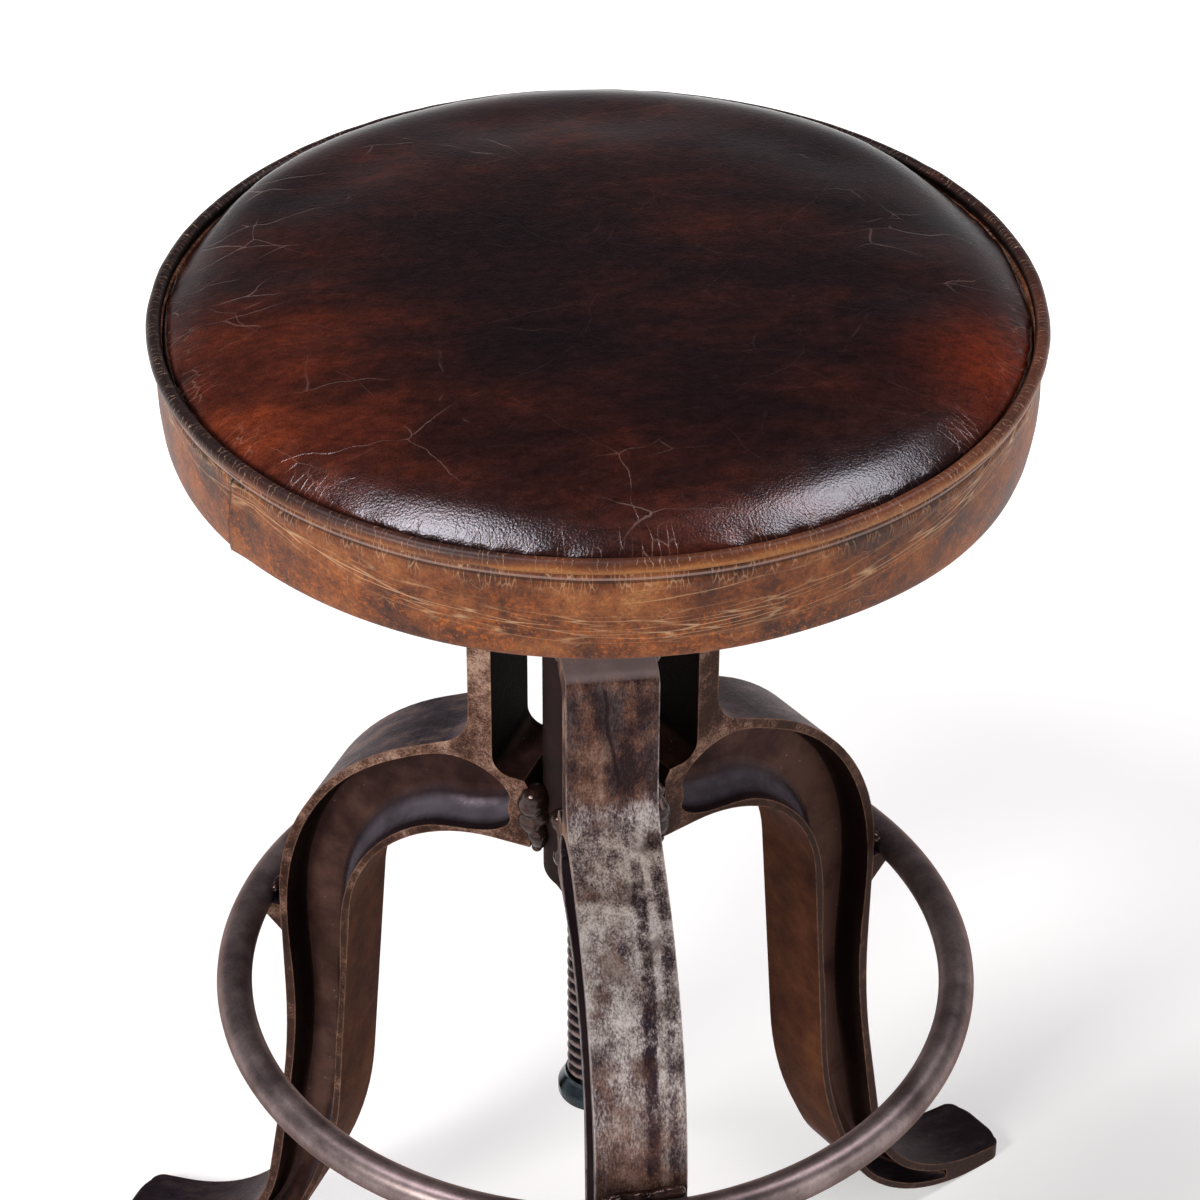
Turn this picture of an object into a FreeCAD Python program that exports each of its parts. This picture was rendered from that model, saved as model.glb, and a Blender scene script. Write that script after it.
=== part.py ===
"""Adjustable stool: a round leather seat on a screw that turns in a three-legged cast base.

Millimetres. The origin is on the floor under the axis of the screw, +Z is up, and the front
leg points along -Y. The seat is drawn at the height where it rests, partly wound up.
"""
import FreeCAD
import Part
import math
import os

V = FreeCAD.Vector
UP = V(0, 0, 1)

# Seat, from the floor up and from the axis out
seam_height = 604.0          # centre of the piping that runs round the rim
piping_circle = 350.0        # diameter of the piping's centre line
piping_diameter = 6.0
leather = 2.4                # thickness of the hide
leather_gap = 0.25           # between the hide and what it is drawn over
side_depth = 44.0            # from the piping's centre down to the edge of the board
side_swell = 0.5             # how far the side band swells past its seam
side_draw_in = 0.7           # how far it is drawn in at the bottom
side_round = 2.0             # round where it turns under the board
hem_width = 20.0             # how far it is turned under
hem_thickness = 2.0
crown_rise = 17.0            # of the top panel over the piping's centre
crown_shoulder_rise = 8.5    # part of it that rises close to the rim
crown_shoulder_width = 13.0  # within this distance of the rim
crevice = 0.4                # between the top panel and the piping
board_thickness = 15.0

# Steel under the board
plate_diameter = 150.0
plate_thickness = 5.0
plate_corner = 1.0
plate_screw_circle = 118.0
plate_screw_count = 4
plate_screw_shank = 4.8
plate_screw_head = 10.0
plate_screw_head_height = 3.2
plate_screw_length = 12.0
screw_hole_gap = 0.15
boss_diameter = 44.0
boss_height = 15.0
boss_chamfer = 3.0

# Screw and the stop at its foot
screw_diameter = 25.4
running_gap = 0.05           # all round, between the screw and what it turns in
screw_foot_height = 180.5
screw_foot_chamfer = 1.5
stop_diameter = 34.0
stop_band = 3.5              # upright part of the stop's side
stop_height = 12.5
stop_neck_wall = 0.8
stop_neck_height = 1.5
stop_edge = 1.5              # round at its foot
stop_shoulder = 3.0          # round between its band and its neck
stop_flare = 4.0             # hollow where it meets its neck

# Hub: the tube that the three castings are welded to, and its two nuts
tube_diameter = 46.0
tube_wall = 5.0
tube_bottom = 317.0
tube_stand_proud = 3.0       # over the castings' top arms
nut_gap = 0.04
upper_nut_length = 30.0
lower_nut_length = 28.0
lower_nut_nose = 11.0        # cone that shows below the tube
lower_nut_nose_wall = 3.8
lower_nut_lip = 1.2

# Leg casting, in the plane through the axis: distances are from the axis
leg_count = 3
leg_width = 39.0
weld_gap = 0.05
arm_top = 458.0
arm_thickness = 12.0
arm_round = 6.0
post_out = 51.5
post_thickness = 11.0
window_round = 9.0
ledge_rise = 36.5            # of the ledge under the window over the casting's hub end
hub_chamfer = 5.0
hub_bottom = 333.0
arch_out = 107.7
arch_round = 73.0
shin_out = 125.8
shin_height = 110.6
shin_round = 220.0
heel_out = 172.2
heel_round = 103.0
toe_out = 256.0
toe_thickness = 8.0          # at its end
toe_edge = 3.0
sole_edge = 1.5
toe_bow = 3.4                # how far the toe's end bows out
toe_corner = 6.0
instep_out = 174.0
instep_height = 20.0
instep_round = 85.0
ankle_out = 148.3
ankle_height = 172.0
ankle_round = 420.0
knee_out = 149.2
knee_height = 338.0
knee_round = 122.0
root_height = 385.5          # where the post's face meets the slope of the knee
root_round = 20.0

# Pocket in each side of the casting
pocket_depth = 15.5
outer_flange = 4.2
inner_flange = 3.4
pocket_hub_out = 33.3
pocket_hub_rise = 34.5       # of its top over the casting's hub end
pocket_peak_out = 60.0
pocket_peak_rise = 41.5      # of the peak of its top, the same way
pocket_peak_round = 50.0
pocket_top_corner = 10.0     # round at the hub end, upper corner
pocket_corner = 5.0
pocket_mouth = 5.0           # width at the hub end
pocket_tip_out = 216.0
pocket_tip_width = 2.2
inner_fillet = 14.0
outer_fillet = 4.0
wall_draft = 1.2
hub_run_out = 16.0
toe_run_out = 110.0
pocket_stations = 15

# Foot ring and the block that carries it on each leg
ring_circle = 324.4          # diameter of the ring's centre line
ring_rod = 15.8
ring_height = 258.0
block_top = 257.0
block_slope_out = 163.0
block_slope_height = 256.5

# Weld beads
bead_radius = 6.5
bead_out = 21.5
bead_aside = 16.8
bead_end = 1.5

# One overrun for every cut
overrun = 2.0

piping_radius = piping_circle / 2
screw_radius = screw_diameter / 2
tube_radius = tube_diameter / 2
board_bottom = seam_height - side_depth + hem_thickness
board_top = board_bottom + board_thickness
side_radius = piping_radius - side_swell
board_radius = side_radius - side_draw_in - leather - leather_gap
panel_radius = piping_radius - piping_diameter / 2 - crevice
plate_bottom = board_bottom - plate_thickness
boss_bottom = plate_bottom - boss_height
tube_top = arm_top + tube_stand_proud
ledge_height = hub_bottom + ledge_rise
pocket_hub_height = hub_bottom + pocket_hub_rise
pocket_peak_height = hub_bottom + pocket_peak_rise
hub_out = tube_radius + weld_gap
half_width = leg_width / 2
leg_angles = [-90 + 360 / leg_count * i for i in range(leg_count)]
leg_names = ["front", "right", "left"]


def save(name, shape):
    """Write one sub-part to its own file."""
    shape = shape.removeSplitter()
    shape.exportStep(f"parts/{name}.step")
    solids = shape.Solids
    print(f"{name}: {len(solids)} solid(s), {shape.Volume / 1000:.1f} cm3, valid {shape.isValid()}")


def rounded_edges(points, radii, closed=True):
    """Edges through corner points in the XZ plane, each corner rounded to its own radius."""
    count = len(points)
    spots = [V(x, 0, z) for x, z in points]
    starts, ends, arcs = [], [], []
    for i, spot in enumerate(spots):
        radius = radii[i]
        if not radius or (not closed and i in (0, count - 1)):
            starts.append(spot)
            ends.append(spot)
            arcs.append(None)
            continue
        back = (spots[i - 1] - spot).normalize()
        ahead = (spots[(i + 1) % count] - spot).normalize()
        half_corner = back.getAngle(ahead) / 2
        run = radius / math.tan(half_corner)
        to_centre = (back + ahead).normalize()
        middle = spot + to_centre * (radius / math.sin(half_corner) - radius)
        starts.append(spot + back * run)
        ends.append(spot + ahead * run)
        arcs.append(Part.Arc(starts[i], middle, ends[i]).toShape())
    edges = []
    for i in range(count):
        if arcs[i]:
            edges.append(arcs[i])
        if i < count - 1 or closed:
            after = starts[(i + 1) % count]
            if ends[i].distanceToPoint(after) > 0:
                edges.append(Part.LineSegment(ends[i], after).toShape())
    return edges


def profile_face(points, radii=None):
    """Flat face in the XZ plane inside rounded corner points."""
    return Part.Face(Part.Wire(rounded_edges(points, radii or [0] * len(points))))


def turned(points, radii=None):
    """Solid of revolution about the Z axis."""
    return profile_face(points, radii).revolve(V(0, 0, 0), UP, 360)


def rod(radius, bottom, top, x=0, y=0):
    """Upright cylinder."""
    return Part.makeCylinder(radius, top - bottom, V(x, y, bottom))


def around(shape, angle):
    """The shape turned about the Z axis, in degrees."""
    copy = shape.copy()
    copy.rotate(V(0, 0, 0), UP, angle)
    return copy


def crowned_edges(inset, foot):
    """Rim, round shoulder and shallow crown of the cushion, from the foot up to the axis."""
    rim, shoulder = panel_radius - inset, piping_radius - crown_shoulder_width
    rise = seam_height + crown_shoulder_rise - inset
    top = seam_height + crown_rise - inset
    low = V(rim, 0, foot)
    start = V(rim, 0, seam_height - inset)
    turn = V(shoulder, 0, rise)
    centre_share, bulge_share = 0.70, 0.72
    bend = V(
        shoulder + (rim - shoulder) * centre_share,
        0,
        seam_height - inset + crown_shoulder_rise * bulge_share,
    )
    drop = top - rise
    crown_radius = (shoulder * shoulder + drop * drop) / (2 * drop)
    half_way = math.asin(shoulder / crown_radius) / 2
    crown_mid = V(crown_radius * math.sin(half_way), 0, top - crown_radius * (1 - math.cos(half_way)))
    return [
        Part.LineSegment(low, start).toShape(),
        Part.Arc(start, bend, turn).toShape(),
        Part.Arc(turn, crown_mid, V(0, 0, top)).toShape(),
    ]


def seat_parts():
    """Everything of the seat that is not steel."""
    panel_foot = seam_height - piping_diameter / 2 - leather
    foam_inset = leather + leather_gap

    outer = crowned_edges(0, panel_foot)
    inner = crowned_edges(leather, panel_foot)
    lip = Part.LineSegment(V(panel_radius - leather, 0, panel_foot), V(panel_radius, 0, panel_foot))
    crest = Part.LineSegment(V(0, 0, seam_height + crown_rise), V(0, 0, seam_height + crown_rise - leather))
    panel_wire = Part.Wire(Part.__sortEdges__(outer + inner + [lip.toShape(), crest.toShape()]))
    save("seat_top_panel", Part.Face(panel_wire).revolve(V(0, 0, 0), UP, 360))

    piping = Part.makeTorus(piping_radius, piping_diameter / 2, V(0, 0, seam_height))
    save("seat_piping", piping)

    band_top = seam_height - piping_diameter / 2
    band_bottom = board_bottom - hem_thickness
    low_radius = side_radius - side_draw_in
    middle = (band_top + band_bottom) / 2
    turn_height = band_bottom + side_round
    round_share = math.sqrt(0.5)
    under_in = side_round * (1 - round_share)
    hem_in = low_radius - leather - hem_width
    inner_round_point = V(low_radius - leather, 0, board_bottom)
    band = [
        Part.Arc(V(side_radius, 0, band_top), V(side_radius + side_swell, 0, middle),
                 V(low_radius, 0, turn_height)),
        Part.Arc(V(low_radius, 0, turn_height), V(low_radius - under_in, 0, band_bottom + under_in),
                 V(low_radius - side_round, 0, band_bottom)),
        Part.LineSegment(V(low_radius - side_round, 0, band_bottom), V(hem_in, 0, band_bottom)),
        Part.LineSegment(V(hem_in, 0, band_bottom), V(hem_in, 0, board_bottom)),
        Part.LineSegment(V(hem_in, 0, board_bottom), inner_round_point),
        Part.Arc(inner_round_point, V(side_radius + side_swell - leather, 0, middle),
                 V(side_radius - leather, 0, band_top)),
        Part.LineSegment(V(side_radius - leather, 0, band_top), V(side_radius, 0, band_top)),
    ]
    band_face = Part.Face(Part.Wire([piece.toShape() for piece in band]))
    save("seat_side_band", band_face.revolve(V(0, 0, 0), UP, 360))

    shelf = panel_foot - leather_gap
    corners = [
        V(panel_radius - foam_inset, 0, shelf),
        V(board_radius, 0, shelf),
        V(board_radius, 0, board_top),
        V(0, 0, board_top),
        V(0, 0, seam_height + crown_rise - foam_inset),
    ]
    foam_edges = crowned_edges(foam_inset, shelf)
    for start, end in zip(corners, corners[1:]):
        foam_edges.append(Part.LineSegment(start, end).toShape())
    foam_wire = Part.Wire(Part.__sortEdges__(foam_edges))
    save("seat_foam", Part.Face(foam_wire).revolve(V(0, 0, 0), UP, 360))

    board = rod(board_radius, board_bottom, board_top)
    for x, y in plate_screw_places():
        tip = board_bottom + plate_screw_length + screw_hole_gap
        board = board.cut(rod(plate_screw_shank / 2 + screw_hole_gap, board_bottom - overrun, tip, x, y))
    save("seat_board", board)


def plate_screw_places():
    """Centres of the wood screws, on a circle."""
    places = []
    for i in range(plate_screw_count):
        angle = 2 * math.pi * (i + 1 / 2) / plate_screw_count
        places.append((plate_screw_circle / 2 * math.cos(angle), plate_screw_circle / 2 * math.sin(angle)))
    return places


def plate_parts():
    """Steel plate under the board, its wood screws and the boss that holds the screw."""
    plate = rod(plate_diameter / 2, plate_bottom, board_bottom)
    rims = [edge for edge in plate.Edges if edge.Length > plate_diameter]
    plate = plate.makeChamfer(plate_corner, [e for e in rims if e.CenterOfMass.z < board_bottom - plate_corner])
    shank = plate_screw_shank / 2
    head = plate_screw_head / 2
    for i, (x, y) in enumerate(plate_screw_places()):
        plate = plate.cut(rod(shank + screw_hole_gap, plate_bottom - overrun, board_bottom + overrun, x, y))
        points = [
            (0, plate_bottom - plate_screw_head_height),
            (head / 2, plate_bottom - plate_screw_head_height),
            (head, plate_bottom),
            (shank, plate_bottom),
            (shank, board_bottom + plate_screw_length - shank * 2),
            (0, board_bottom + plate_screw_length),
        ]
        wood_screw = turned(points, [0, head / 2, 0, 0, 0, 0])
        wood_screw.translate(V(x, y, 0))
        save(f"plate_screw_{i + 1}", wood_screw)
    save("seat_plate", plate)

    bore = screw_radius + running_gap
    boss = turned([
        (bore, plate_bottom),
        (boss_diameter / 2, plate_bottom),
        (boss_diameter / 2, boss_bottom + boss_chamfer),
        (boss_diameter / 2 - boss_chamfer, boss_bottom),
        (bore, boss_bottom),
    ])
    save("screw_boss", boss)


def screw_parts():
    """The screw and the bell-shaped stop at its foot."""
    foot = screw_foot_height
    save("seat_screw", turned([
        (0, foot),
        (screw_radius - screw_foot_chamfer, foot),
        (screw_radius, foot + screw_foot_chamfer),
        (screw_radius, plate_bottom),
        (0, plate_bottom),
    ]))

    bore = screw_radius + running_gap
    wide = stop_diameter / 2
    neck = bore + stop_neck_wall
    stop = turned([
        (bore, foot),
        (wide, foot),
        (wide, foot + stop_band + (wide - neck) / 2),
        (neck, foot + stop_height - stop_neck_height),
        (neck, foot + stop_height),
        (bore, foot + stop_height),
    ], [0, stop_edge, stop_shoulder, stop_flare, 0, 0])
    save("stop_collar", stop)


def hub_parts():
    """The tube between the castings and the nuts in its two ends."""
    inside = tube_radius - tube_wall
    tube = rod(tube_radius, tube_bottom, tube_top).cut(
        rod(inside, tube_bottom - overrun, tube_top + overrun))
    save("hub_tube", tube)

    bore = screw_radius + running_gap
    nut = inside - nut_gap
    save("upper_nut", turned([
        (bore, tube_top - upper_nut_length),
        (nut, tube_top - upper_nut_length),
        (nut, tube_top),
        (bore, tube_top),
    ]))
    nose = bore + lower_nut_nose_wall
    shoulder = tube_radius - lower_nut_lip
    save("lower_nut", turned([
        (bore, tube_bottom - lower_nut_nose),
        (nose, tube_bottom - lower_nut_nose),
        (shoulder, tube_bottom - lower_nut_lip),
        (shoulder, tube_bottom),
        (nut, tube_bottom),
        (nut, tube_bottom + lower_nut_length),
        (bore, tube_bottom + lower_nut_length),
    ], [0, lower_nut_lip, lower_nut_nose / 2, 0, 0, 0, 0]))


def leg_outline():
    """Corners and radii of the casting's outline, from the top arm round by the toe."""
    window_out = post_out - post_thickness
    return [
        ((hub_out, arm_top), 0),
        ((post_out, arm_top), arm_round),
        ((post_out, root_height), root_round),
        ((knee_out, knee_height), knee_round),
        ((ankle_out, ankle_height), ankle_round),
        ((instep_out, instep_height), instep_round),
        ((toe_out, toe_thickness), toe_edge),
        ((toe_out, 0), sole_edge),
        ((heel_out, 0), heel_round),
        ((shin_out, shin_height), shin_round),
        ((arch_out, hub_bottom), arch_round),
        ((hub_out, hub_bottom), 0),
        ((hub_out, ledge_height - hub_chamfer), 0),
        ((hub_out + hub_chamfer / 2, ledge_height), 0),
        ((window_out, ledge_height), window_round),
        ((window_out, arm_top - arm_thickness), arm_round),
        ((hub_out, arm_top - arm_thickness), 0),
    ]


def moved_line(start, end, distance):
    """A line of the outline moved to its right by a distance, as a point and a direction."""
    along = (V(end[0], 0, end[1]) - V(start[0], 0, start[1])).normalize()
    aside = V(along.z, 0, -along.x)
    return V(start[0], 0, start[1]) + aside * distance, along


def meeting(line, other):
    """Where two lines in the XZ plane cross."""
    (p, d), (q, e) = line, other
    across = d.x * e.z - d.z * e.x
    gap = q - p
    reach = (gap.x * e.z - gap.z * e.x) / across
    spot = p + d * reach
    return spot.x, spot.z


def pocket_sides():
    """The pocket's two long edges, from the hub to its tip, as open wires."""
    root, knee = (post_out, root_height), (knee_out, knee_height)
    ankle, instep = (ankle_out, ankle_height), (instep_out, instep_height)
    toe_top = (toe_out, toe_thickness)
    heel, shin, arch = (heel_out, 0), (shin_out, shin_height), (arch_out, hub_bottom)
    toe_low, hub_low = (toe_out, 0), (hub_out, hub_bottom)
    slope = moved_line(root, knee, outer_flange)
    flank = moved_line(knee, ankle, outer_flange)
    ankle_line = moved_line(ankle, instep, outer_flange)
    toe = moved_line(instep, toe_top, outer_flange)
    sole = moved_line(toe_low, heel, inner_flange)
    calf = moved_line(heel, shin, inner_flange)
    back = moved_line(shin, arch, inner_flange)
    under = moved_line(arch, hub_low, inner_flange)
    mouth = hub_bottom + inner_flange + (pocket_hub_height - hub_bottom - inner_flange) / 2
    outer = [
        ((pocket_hub_out, mouth + pocket_mouth / 2), 0),
        ((pocket_hub_out, pocket_hub_height), pocket_top_corner),
        (meeting(slope, ((V(pocket_hub_out, 0, pocket_hub_height)),
                         V(pocket_peak_out - pocket_hub_out, 0, pocket_peak_height - pocket_hub_height))),
         pocket_peak_round),
        (meeting(slope, flank), knee_round - outer_flange),
        (meeting(flank, ankle_line), ankle_round + outer_flange),
        (meeting(ankle_line, toe), instep_round + outer_flange),
        (meeting(toe, (V(toe_out, 0, 0), UP)), 0),
    ]
    inner = [
        ((pocket_hub_out, mouth - pocket_mouth / 2), 0),
        ((pocket_hub_out, under[0].z), pocket_corner),
        (meeting(back, under), arch_round + inner_flange),
        (meeting(calf, back), shin_round - inner_flange),
        (meeting(sole, calf), heel_round - inner_flange),
        ((toe_out, sole[0].z), 0),
    ]
    wires = []
    for side in (outer, inner):
        points, radii = zip(*side)
        wires.append(Part.Wire(rounded_edges(points, radii, closed=False)))
    return wires


def stations_to_tip(wire, shares):
    """Points on a pocket edge at shares of its length between the hub and the tip."""
    fine = wire.discretize(Number=pocket_stations * pocket_stations)
    kept = [spot for spot in fine if spot.x <= pocket_tip_out or spot.z > knee_height]
    return [kept[round(share * (len(kept) - 1))] for share in shares]


def run_out(distance, length):
    """Share of the full depth at a distance from an end: a quarter round, then full."""
    left = max(0.0, 1 - distance / length)
    return math.sqrt(1 - left * left)


def pocket_section(inside, outside, depth):
    """One cross section of the pocket, open to the casting's side and round at the bottom."""
    across = outside - inside
    width = across.Length
    across.normalize()
    inner_share, outer_share, half = 0.55, 0.22, math.sqrt(0.5)
    fillet_in = min(inner_fillet, width * inner_share)
    fillet_out = min(outer_fillet, width * outer_share, depth / 2)
    draft = min(wall_draft, width * outer_share / 2)

    def spot(u, w):
        return inside + across * u + V(0, half_width - w, 0)

    bottom = width - draft - fillet_out
    corners = [
        spot(0, -overrun), spot(0, 0), spot(fillet_in, depth), spot(bottom, depth),
        spot(width - draft, depth - fillet_out), spot(width, 0), spot(width, -overrun),
    ]
    inner_bend = spot(fillet_in * (1 - half), depth * half)
    outer_bend = spot(bottom + fillet_out * half, depth - fillet_out * (1 - half))
    edges = [
        Part.LineSegment(corners[0], corners[1]).toShape(),
        Part.Arc(corners[1], inner_bend, corners[2]).toShape(),
        Part.LineSegment(corners[2], corners[3]).toShape(),
        Part.Arc(corners[3], outer_bend, corners[4]).toShape(),
        Part.LineSegment(corners[4], corners[5]).toShape(),
        Part.LineSegment(corners[5], corners[6]).toShape(),
        Part.LineSegment(corners[6], corners[0]).toShape(),
    ]
    return Part.Wire(edges)


def pocket_tool():
    """The cutter for one side's pocket: a loft from the hub to the toe."""
    shares = [(1 - math.cos(math.pi * i / (pocket_stations - 1))) / 2 for i in range(pocket_stations)]
    outer_wire, inner_wire = pocket_sides()
    outer, inner = stations_to_tip(outer_wire, shares), stations_to_tip(inner_wire, shares)
    length = outer_wire.Length
    sections = []
    for share, outside, inside in zip(shares, outer, inner):
        from_hub, from_tip = share * length, (1 - share) * length
        depth = pocket_depth * run_out(from_hub, hub_run_out) * run_out(from_tip, toe_run_out)
        sections.append(pocket_section(inside, outside, max(depth, overrun)))
    return Part.makeLoft(sections, True, False)


def toe_plan():
    """The casting seen from above, with a bowed toe and round toe corners."""
    corner = toe_out - toe_bow
    side = half_width + overrun
    start, stop = V(hub_out - overrun, -side, 0), V(hub_out - overrun, side, 0)
    round_in = toe_corner * (1 - math.sqrt(0.5))
    edges = [
        Part.LineSegment(start, V(corner - toe_corner, -side, 0)),
        Part.LineSegment(V(corner - toe_corner, -side, 0), V(corner - toe_corner, -half_width, 0)),
        Part.Arc(V(corner - toe_corner, -half_width, 0), V(corner - round_in, -half_width + round_in, 0),
                 V(corner, -half_width + toe_corner, 0)),
        Part.Arc(V(corner, -half_width + toe_corner, 0), V(toe_out, 0, 0),
                 V(corner, half_width - toe_corner, 0)),
        Part.Arc(V(corner, half_width - toe_corner, 0), V(corner - round_in, half_width - round_in, 0),
                 V(corner - toe_corner, half_width, 0)),
        Part.LineSegment(V(corner - toe_corner, half_width, 0), V(corner - toe_corner, side, 0)),
        Part.LineSegment(V(corner - toe_corner, side, 0), stop),
        Part.LineSegment(stop, start),
    ]
    return Part.Face(Part.Wire([edge.toShape() for edge in edges]))


def leg_shape():
    """One leg casting along +X: an I-section with a window under its top arm."""
    points, radii = zip(*leg_outline())
    face = profile_face(points, radii)
    face.translate(V(0, -half_width, 0))
    blank = face.extrude(V(0, leg_width, 0))
    plan = toe_plan()
    plan.translate(V(0, 0, -overrun))
    blank = blank.common(plan.extrude(V(0, 0, arm_top + 2 * overrun)))
    tool = pocket_tool()
    other = tool.mirror(V(0, 0, 0), V(0, 1, 0))
    return blank.cut(tool).cut(other), blank


def block_shape(blank, ring):
    """Block between a leg's face and the ring, along +X."""
    inward = knee_out - outer_flange
    points = [
        (inward, block_slope_height - (block_slope_out - inward)),
        (block_slope_out, block_slope_height),
        (block_slope_out, block_top),
        (inward, block_top),
    ]
    face = profile_face(points)
    face.translate(V(0, -half_width, 0))
    block = face.extrude(V(0, leg_width, 0)).cut(blank).cut(ring)
    return max(block.Solids, key=lambda solid: solid.Volume)


def weld_beads(blank, tube):
    """Upright beads between a casting's two hub ends and the tube."""
    spans = [
        (hub_bottom + bead_end, ledge_height - hub_chamfer - bead_end),
        (arm_top - arm_thickness + bead_end, arm_top - bead_end),
    ]
    beads = []
    for low, high in spans:
        for side in (-1, 1):
            bead = rod(bead_radius, low, high, bead_out, side * bead_aside)
            bead = bead.makeFillet(bead_end, [e for e in bead.Edges if e.Closed])
            bead = bead.cut(blank).cut(tube)
            beads.append(max(bead.Solids, key=lambda solid: solid.Volume))
    return Part.makeCompound(beads)


def base_parts():
    """Castings, ring, blocks and welds."""
    ring = Part.makeTorus(ring_circle / 2, ring_rod / 2, V(0, 0, ring_height))
    save("foot_ring", ring)
    tube = rod(tube_radius, tube_bottom, tube_top)
    leg, blank = leg_shape()
    block = block_shape(blank, ring)
    beads = weld_beads(blank, tube)
    for name, angle in zip(leg_names, leg_angles):
        save(f"leg_{name}", around(leg, angle))
        save(f"ring_block_{name}", around(block, angle))
        save(f"hub_weld_{name}", around(beads, angle))


os.makedirs("parts", exist_ok=True)
seat_parts()
plate_parts()
screw_parts()
hub_parts()
base_parts()
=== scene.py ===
# %% [markdown]
# # Adjustable stool: surfaces and finishes
# A round leather seat turns on a long screw between three cast iron legs. The solids come to size
# from the CAD model, so this file only makes what CAD is poor at: hide that swells and wrinkles, a
# cut thread, weld lumps, and the finish of every surface. It could all be painted on the CAD
# solids, but leather that keeps the machine-true edge of a solid never looks soft.

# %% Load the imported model
import math
import random

import bmesh
import bpy
from mathutils import Matrix, Vector, noise


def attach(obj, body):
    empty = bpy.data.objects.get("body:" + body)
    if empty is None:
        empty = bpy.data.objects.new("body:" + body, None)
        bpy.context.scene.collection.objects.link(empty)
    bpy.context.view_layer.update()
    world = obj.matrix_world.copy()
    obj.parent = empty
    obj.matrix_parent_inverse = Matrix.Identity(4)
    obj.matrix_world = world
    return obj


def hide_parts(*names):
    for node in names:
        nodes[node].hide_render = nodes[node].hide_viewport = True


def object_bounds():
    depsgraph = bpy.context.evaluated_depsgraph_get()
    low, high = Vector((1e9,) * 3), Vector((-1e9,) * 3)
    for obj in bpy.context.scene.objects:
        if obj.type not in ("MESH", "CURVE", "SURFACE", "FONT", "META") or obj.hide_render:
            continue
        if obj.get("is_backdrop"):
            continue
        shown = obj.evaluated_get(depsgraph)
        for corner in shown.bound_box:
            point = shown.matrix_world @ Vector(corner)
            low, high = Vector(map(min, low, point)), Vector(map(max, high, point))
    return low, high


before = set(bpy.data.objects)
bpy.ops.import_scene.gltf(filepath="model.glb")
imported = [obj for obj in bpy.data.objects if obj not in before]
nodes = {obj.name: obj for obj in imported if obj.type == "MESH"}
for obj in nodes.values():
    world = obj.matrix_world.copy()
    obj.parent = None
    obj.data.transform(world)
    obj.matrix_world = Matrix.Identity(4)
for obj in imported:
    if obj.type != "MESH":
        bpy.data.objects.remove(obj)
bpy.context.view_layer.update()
MM = 0.001
scene = bpy.context.scene

# %% [markdown]
# ## The camera
# The stool is seen from in front and well above, from nearly 1.5 m away, with a long lens that
# hardly tapers the legs. The numbers come from fitting the ellipse of the seat and the feet. A
# small sideways shift frames the stool without turning the camera, so upright lines stay upright.

# %% Camera
LENS = 110.574
FILM_WIDTH = 36.0
SIDE_SHIFT = 0.0196
CAMERA_PLACE = (-0.16424, -1.23092, 1.3741)
LOOK_DOWN = 0.6343
LOOK_RIGHT = 0.12585
camera_data = bpy.data.cameras.new("camera")
camera_data.lens = LENS
camera_data.sensor_width = FILM_WIDTH
camera_data.shift_x = SIDE_SHIFT
camera = bpy.data.objects.new("camera", camera_data)
camera.location = CAMERA_PLACE
camera.rotation_euler = (math.pi / 2 - LOOK_DOWN, 0.0, -LOOK_RIGHT)
scene.collection.objects.link(camera)
scene.camera = camera
print("the camera looks", round(math.degrees(LOOK_DOWN), 1), "degrees down")

# %% [markdown]
# ## One helper for shader nodes
# A material is a small graph of nodes. In the editor one adds a node, types its settings and drags
# its links; here one function does the same three things for every kind of node, so a material
# reads from top to bottom like a recipe. Colours are written as the hex values that a paint
# program shows, and are turned into the linear light that a renderer adds and multiplies.

# %% Colour and node helpers
def linear(code):
    """The linear colour of an sRGB hex value such as "#2a1614"."""
    parts = [int(code[i:i + 2], 16) / 255 for i in (1, 3, 5)]
    return [c / 12.92 if c <= 0.04045 else ((c + 0.055) / 1.055) ** 2.4 for c in parts] + [1.0]


def add(tree, kind, inputs=None, stops=(), **settings):
    """Adds a shader node: its settings, the values or links of its inputs, and a ramp's stops."""
    node = tree.nodes.new("ShaderNode" + kind)
    for name, value in settings.items():
        setattr(node, name, value)
    if stops:
        elements = node.color_ramp.elements
        while len(elements) < len(stops):
            elements.new(1.0)
        for element, (position, code) in zip(elements, stops):
            element.position = position
            element.color = linear(code)
    for name, value in (inputs or {}).items():
        usable = [s for s in node.inputs if s.enabled]
        socket = usable[name] if isinstance(name, int) else next(s for s in usable if s.name == name)
        if isinstance(value, bpy.types.Node):
            value = next(s for s in value.outputs if s.enabled)
        if isinstance(value, bpy.types.NodeSocket):
            tree.links.new(value, socket)
        else:
            socket.default_value = linear(value) if isinstance(value, str) else value
    return node


def new_material(name):
    """An empty material, its node tree, and the object's own coordinates."""
    material = bpy.data.materials.new(name)
    material.use_nodes = True
    tree = material.node_tree
    tree.nodes.clear()
    return material, tree, add(tree, "TexCoord").outputs["Object"]


print("#808080 is", round(linear("#808080")[0], 3), "in linear light")

# %% [markdown]
# ## Short names for the usual steps
# Nearly every finish is noise of a real size, faded between two values and used to mix two
# colours. Giving these steps short names keeps the recipes readable. Sizes are in millimetres, so
# a 1 mm leather grain is typed as 1, whatever unit the renderer works in.

# %% Pattern helpers
def per_mm(size):
    """The scale that makes a pattern's features about this many millimetres wide."""
    return 1 / (size * MM)


def cloudy(tree, place, size, detail=4.0, roughness=0.6):
    """Noise with features about this many millimetres wide."""
    return add(tree, "TexNoise", {"Vector": place, "Scale": per_mm(size), "Detail": detail,
                                  "Roughness": roughness})


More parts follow.
